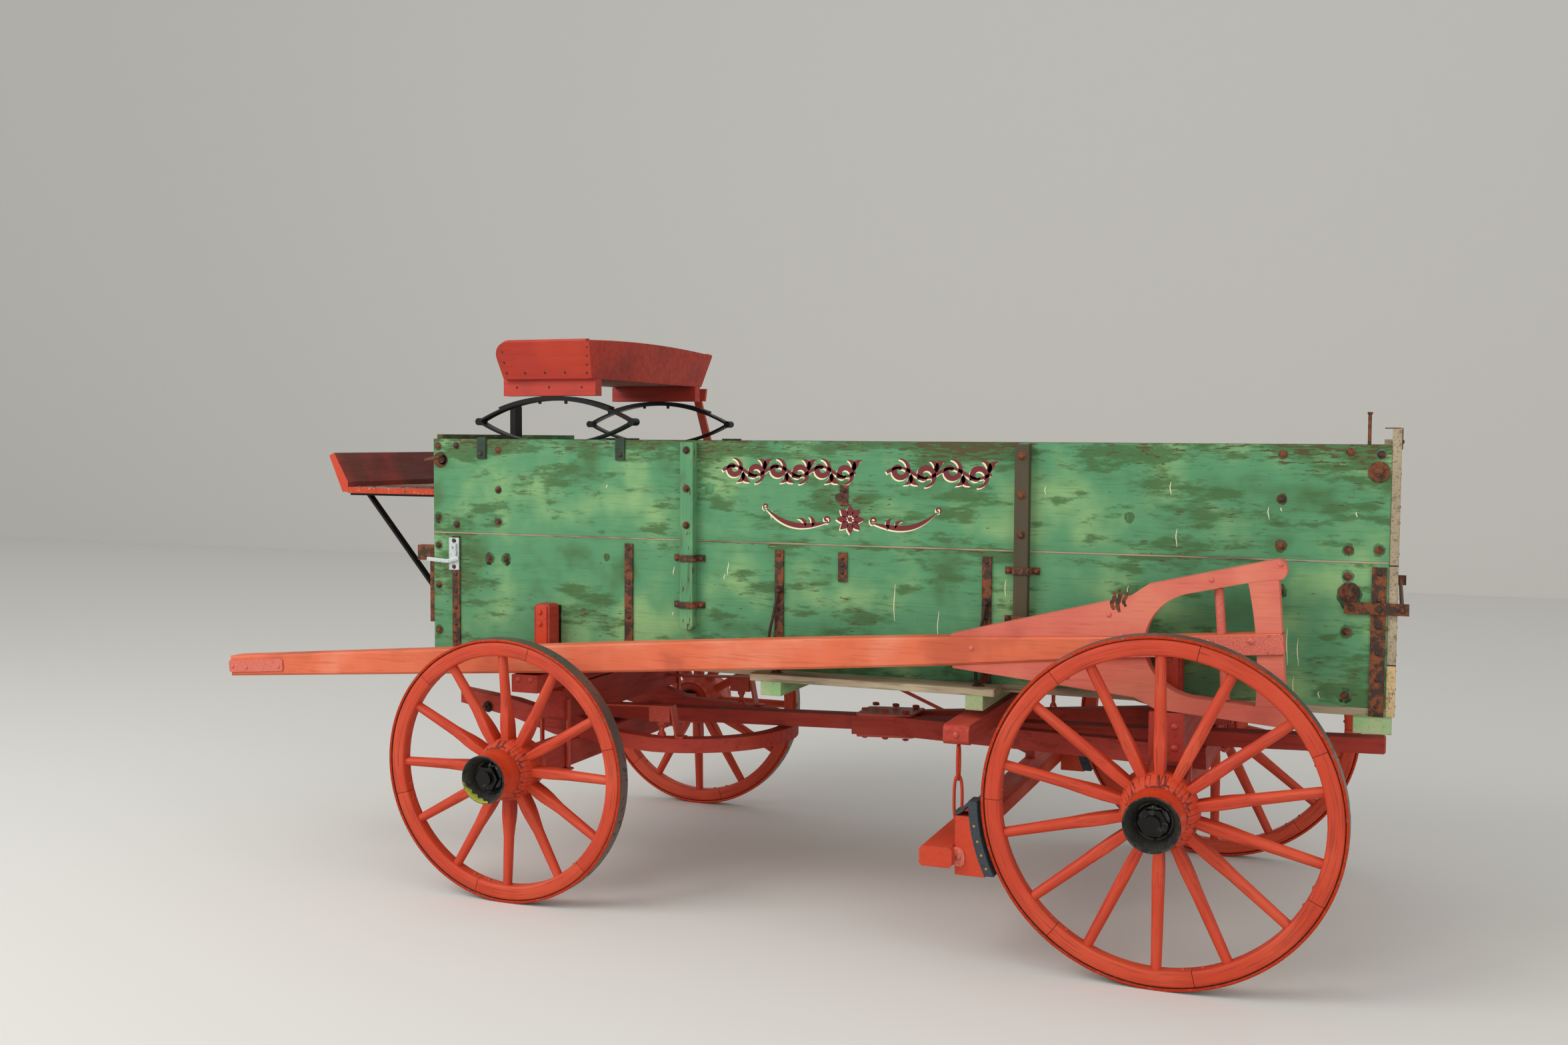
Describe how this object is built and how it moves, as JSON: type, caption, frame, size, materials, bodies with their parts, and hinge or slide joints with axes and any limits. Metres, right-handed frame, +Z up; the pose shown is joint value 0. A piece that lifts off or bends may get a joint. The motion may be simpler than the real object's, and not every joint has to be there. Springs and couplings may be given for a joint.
{
  "type": "horse-drawn box wagon",
  "caption": "Horse-drawn farm wagon with a plank box, spring seat, footboard and dished spoked wheels on a steering front gear, its tongue stowed along one side.",
  "frame": {"origin": "on the ground under the middle of the overall length, on the wagon's centre line", "axes": "+Z up, -X the way the wagon travels, +Y the driver's right-hand side"},
  "size_m": [4.0488, 1.8528, 1.9087],
  "materials": {
    "box_paint": "worn sea-green paint",
    "bare_wood": "weathered bare wood",
    "wheel_paint": "orange-red paint",
    "gear_paint": "dark red paint",
    "tongue_paint": "faded salmon paint",
    "seat_paint": "bright red paint",
    "toe_paint": "maroon paint",
    "worn_iron": "worn forged iron",
    "black_iron": "black greased iron",
    "tyre_iron": "worn steel tyre",
    "brake_pad": "worn blue-black pad"
  },
  "bodies": {
    "wagon": {"box_floor": "bare_wood", "box_side_left": "box_paint", "box_side_right": "box_paint", "box_stakes": "box_paint", "brake_bar": "gear_paint", "brake_beam": "gear_paint", "brake_chains": "worn_iron", "brake_lever": "worn_iron", "brake_shoes": "brake_pad", "cross_rods": "worn_iron", "cross_sills": "box_paint", "footboard": "bare_wood", "footboard_braces": "black_iron", "front_board": "box_paint", "front_bolster": "gear_paint", "front_irons": "worn_iron", "front_post": "black_iron", "gate_keepers": "worn_iron", "king_bolt": "worn_iron", "reach": "gear_paint", "reach_plates": "worn_iron", "rear_axle": "gear_paint", "rear_axle_arms": "black_iron", "rear_bolster": "gear_paint", "rear_hounds": "gear_paint", "seat_box": "seat_paint", "seat_rails": "black_iron", "seat_risers": "seat_paint", "seat_springs": "black_iron", "shoe_holders": "worn_iron", "step_plank": "bare_wood", "strap_irons": "worn_iron", "toe_board": "toe_paint", "tongue_hounds": "tongue_paint", "tongue_irons": "worn_iron", "tongue_pole": "tongue_paint", "tongue_post": "tongue_paint"},
    "front_gear": {"bow_irons": "worn_iron", "front_axle": "gear_paint", "front_axle_arms": "black_iron", "front_hounds": "gear_paint", "sand_board": "gear_paint"},
    "wheel_front_left": {"hub_irons_front_left": "black_iron", "tyre_front_left": "tyre_iron", "wheel_front_left": "wheel_paint"},
    "wheel_front_right": {"hub_irons_front_right": "black_iron", "tyre_front_right": "tyre_iron", "wheel_front_right": "wheel_paint"},
    "wheel_rear_left": {"hub_irons_rear_left": "black_iron", "tyre_rear_left": "tyre_iron", "wheel_rear_left": "wheel_paint"},
    "wheel_rear_right": {"hub_irons_rear_right": "black_iron", "tyre_rear_right": "tyre_iron", "wheel_rear_right": "wheel_paint"},
    "rear_gate": {"rear_gate": "box_paint"}
  },
  "joints": [
    {"name": "steering", "type": "hinge", "parent": "wagon", "child": "front_gear", "pos_m": [-0.766, 0, 0.5], "axis": [0, 0, 1], "range_deg": [-12, 12]},
    {"name": "front_left_wheel_spin", "type": "hinge", "parent": "front_gear", "child": "wheel_front_left", "pos_m": [-0.766, -0.78382, 0.44675], "axis": [0, -0.9995, -0.0332], "continuous": true},
    {"name": "front_right_wheel_spin", "type": "hinge", "parent": "front_gear", "child": "wheel_front_right", "pos_m": [-0.766, 0.78382, 0.44675], "axis": [0, 0.9995, -0.0332], "continuous": true},
    {"name": "rear_left_wheel_spin", "type": "hinge", "parent": "wagon", "child": "wheel_rear_left", "pos_m": [1.376, -0.78591, 0.50972], "axis": [0, -0.9995, -0.0332], "continuous": true},
    {"name": "rear_right_wheel_spin", "type": "hinge", "parent": "wagon", "child": "wheel_rear_right", "pos_m": [1.376, 0.78591, 0.50972], "axis": [0, 0.9995, -0.0332], "continuous": true},
    {"name": "gate_lift", "type": "slide", "parent": "wagon", "child": "rear_gate", "axis": [0, 0, 1], "range_m": [0, 0.8]}
  ]
}
